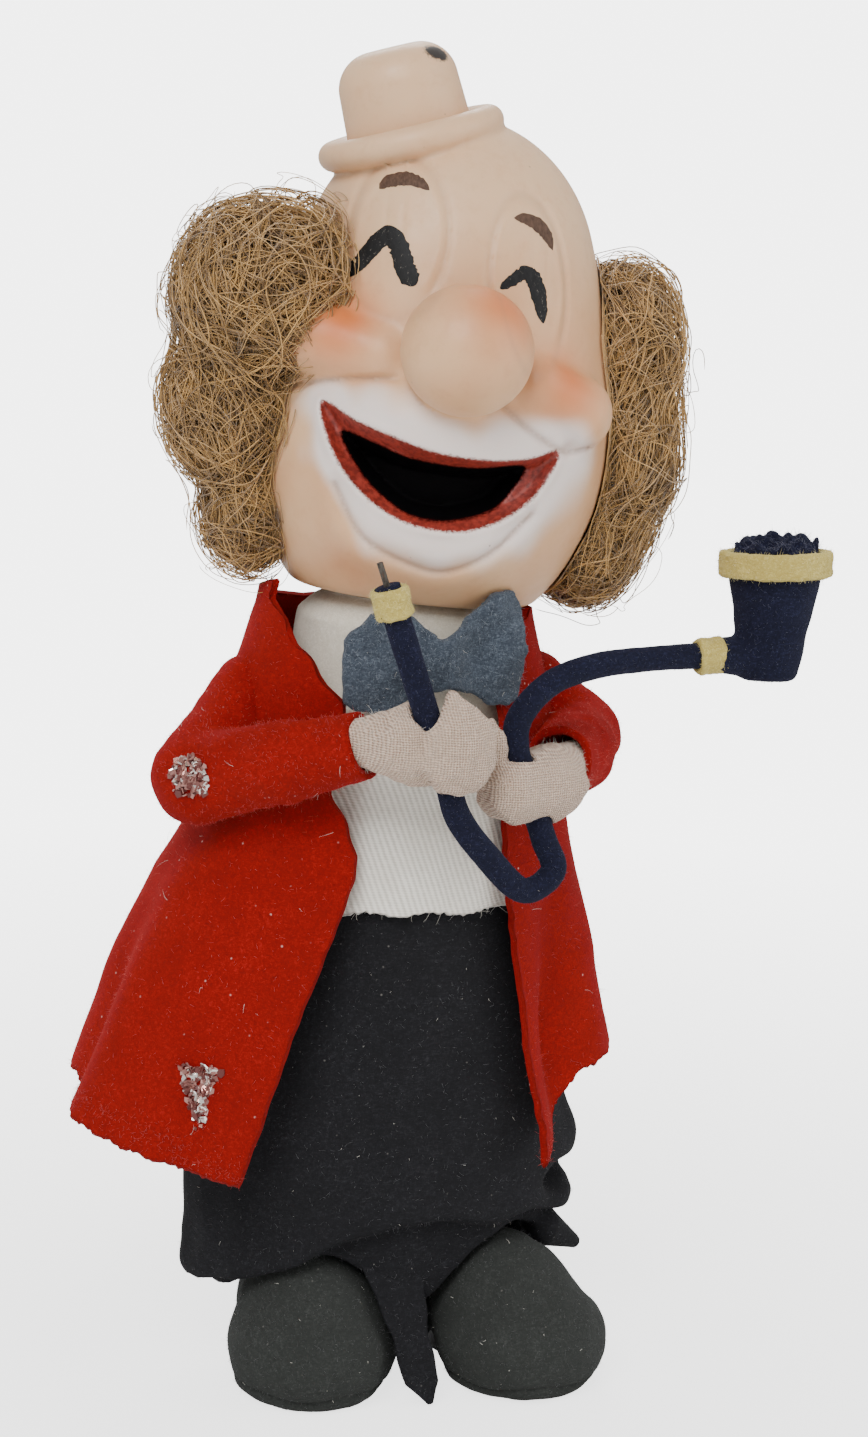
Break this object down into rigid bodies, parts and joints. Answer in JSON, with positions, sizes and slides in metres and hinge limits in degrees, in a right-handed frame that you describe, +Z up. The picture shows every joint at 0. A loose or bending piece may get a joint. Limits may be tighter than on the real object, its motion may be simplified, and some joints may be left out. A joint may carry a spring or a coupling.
{
  "type": "poseable clown doll with pipe",
  "caption": "Free-standing poseable clown doll with a hollow moulded head and little hat, mohair tufts, felt tail coat and trousers, both fists round the stem of a long looped pipe.",
  "frame": {"origin": "on the ground under the middle of the whole outline, pipe included", "axes": "+Z up, the doll faces -Y, +X towards the doll's left hand and the pipe's bowl"},
  "size_m": [0.12, 0.0764, 0.2234],
  "materials": {
    "vinyl": "matt flesh-coloured soft vinyl with sprayed and painted details",
    "wadding": "cotton wadding",
    "mohair": "loose curly golden-brown mohair",
    "white_felt": "off-white wool felt",
    "satin": "white satin with a visible weave",
    "tie_felt": "mottled grey-blue felt",
    "red_felt": "red wool felt",
    "glitter": "worn patch of glued glitter",
    "black_felt": "black felt",
    "sole_board": "dark felt-covered card",
    "crepe": "flesh-coloured crepe wound over padding",
    "navy_felt": "navy flocked felt",
    "yellow_felt": "yellow felt",
    "dowel_wood": "plain dowel",
    "weight_steel": "plain turned steel disc",
    "wire": "dull annealed wire"
  },
  "bodies": {
    "torso": {"spine_post": "dowel_wood", "neck_pin": "wire", "shoulder_wire": "wire", "hip_wire": "wire", "torso_padding": "wadding", "collar": "white_felt", "shirt_front": "satin", "bow_tie": "tie_felt", "coat": "red_felt", "coat_glitter_patch": "glitter", "trousers": "black_felt"},
    "neck": {"neck_post": "wire"},
    "head": {"head_shell": "vinyl", "neck_plug": "wadding", "right_hair_tuft": "mohair", "left_hair_tuft": "mohair"},
    "left_arm": {"left_arm_wire": "wire", "left_sleeve": "red_felt", "left_hand": "crepe"},
    "right_upper_arm": {"right_upper_arm_wire": "wire", "right_upper_sleeve": "red_felt"},
    "right_forearm": {"right_forearm_wire": "wire", "right_forearm_sleeve": "red_felt", "right_hand": "crepe", "elbow_glitter_patch": "glitter"},
    "pipe": {"pipe_wire": "wire", "pipe_stem": "navy_felt", "mouthpiece_band": "yellow_felt", "shank_band": "yellow_felt", "pipe_bowl": "navy_felt", "rim_band": "yellow_felt", "bowl_filling": "navy_felt"},
    "right_leg": {"right_leg_wire": "wire", "right_leg_padding": "black_felt"},
    "left_leg": {"left_leg_wire": "wire", "left_leg_padding": "black_felt"},
    "right_foot": {"right_shoe": "black_felt", "right_sole": "sole_board", "right_shoe_weight": "weight_steel", "right_ankle_pin": "wire"},
    "left_foot": {"left_shoe": "black_felt", "left_sole": "sole_board", "left_shoe_weight": "weight_steel", "left_ankle_pin": "wire"}
  },
  "joints": [
    {"name": "head_nod", "type": "hinge", "parent": "torso", "child": "neck", "pos_m": [-0.00395, 0.0082, 0.1255], "axis": [-0.9714, 0.225, 0.0764], "range_deg": [-8, 6], "stiffness_Nm_per_rad": 0.8},
    {"name": "head_turn", "type": "hinge", "parent": "neck", "child": "head", "pos_m": [-0.00332, 0.0082, 0.13348], "axis": [0.0785, 0, 0.9969], "range_deg": [-50, 50], "stiffness_Nm_per_rad": 0.3},
    {"name": "left_shoulder", "type": "hinge", "parent": "torso", "child": "left_arm", "pos_m": [0.01745, 0.0082, 0.119], "axis": [-1, 0, 0], "range_deg": [-10, 12], "stiffness_Nm_per_rad": 0.1},
    {"name": "right_shoulder", "type": "hinge", "parent": "torso", "child": "right_upper_arm", "pos_m": [-0.02755, 0.0082, 0.119], "axis": [-1, 0, 0], "range_deg": [-10, 12], "stiffness_Nm_per_rad": 0.1},
    {"name": "right_elbow", "type": "hinge", "parent": "right_upper_arm", "child": "right_forearm", "pos_m": [-0.04355, -0.0008, 0.104], "axis": [0, 0, -1], "range_deg": [0, 60], "stiffness_Nm_per_rad": 0.02},
    {"name": "pipe_slide", "type": "slide", "parent": "left_arm", "child": "pipe", "axis": [-0.342, 0, 0.9397], "range_m": [-0.0005, 0.004]},
    {"name": "right_hip", "type": "hinge", "parent": "torso", "child": "right_leg", "pos_m": [-0.01875, 0.0082, 0.047], "axis": [-1, 0, 0], "range_deg": [-8, 10], "stiffness_Nm_per_rad": 0.8},
    {"name": "left_hip", "type": "hinge", "parent": "torso", "child": "left_leg", "pos_m": [0.00765, 0.0082, 0.047], "axis": [-1, 0, 0], "range_deg": [-8, 10], "stiffness_Nm_per_rad": 0.8},
    {"name": "right_ankle", "type": "hinge", "parent": "right_leg", "child": "right_foot", "pos_m": [-0.01875, 0.0082, 0.014], "axis": [1, 0, 0], "range_deg": [-8, 12], "stiffness_Nm_per_rad": 0.8},
    {"name": "left_ankle", "type": "hinge", "parent": "left_leg", "child": "left_foot", "pos_m": [0.00765, 0.0082, 0.014], "axis": [1, 0, 0], "range_deg": [-8, 12], "stiffness_Nm_per_rad": 0.8}
  ],
  "couplings": [
    {"joint": "right_shoulder", "follows": "left_shoulder", "ratio": 1}
  ]
}
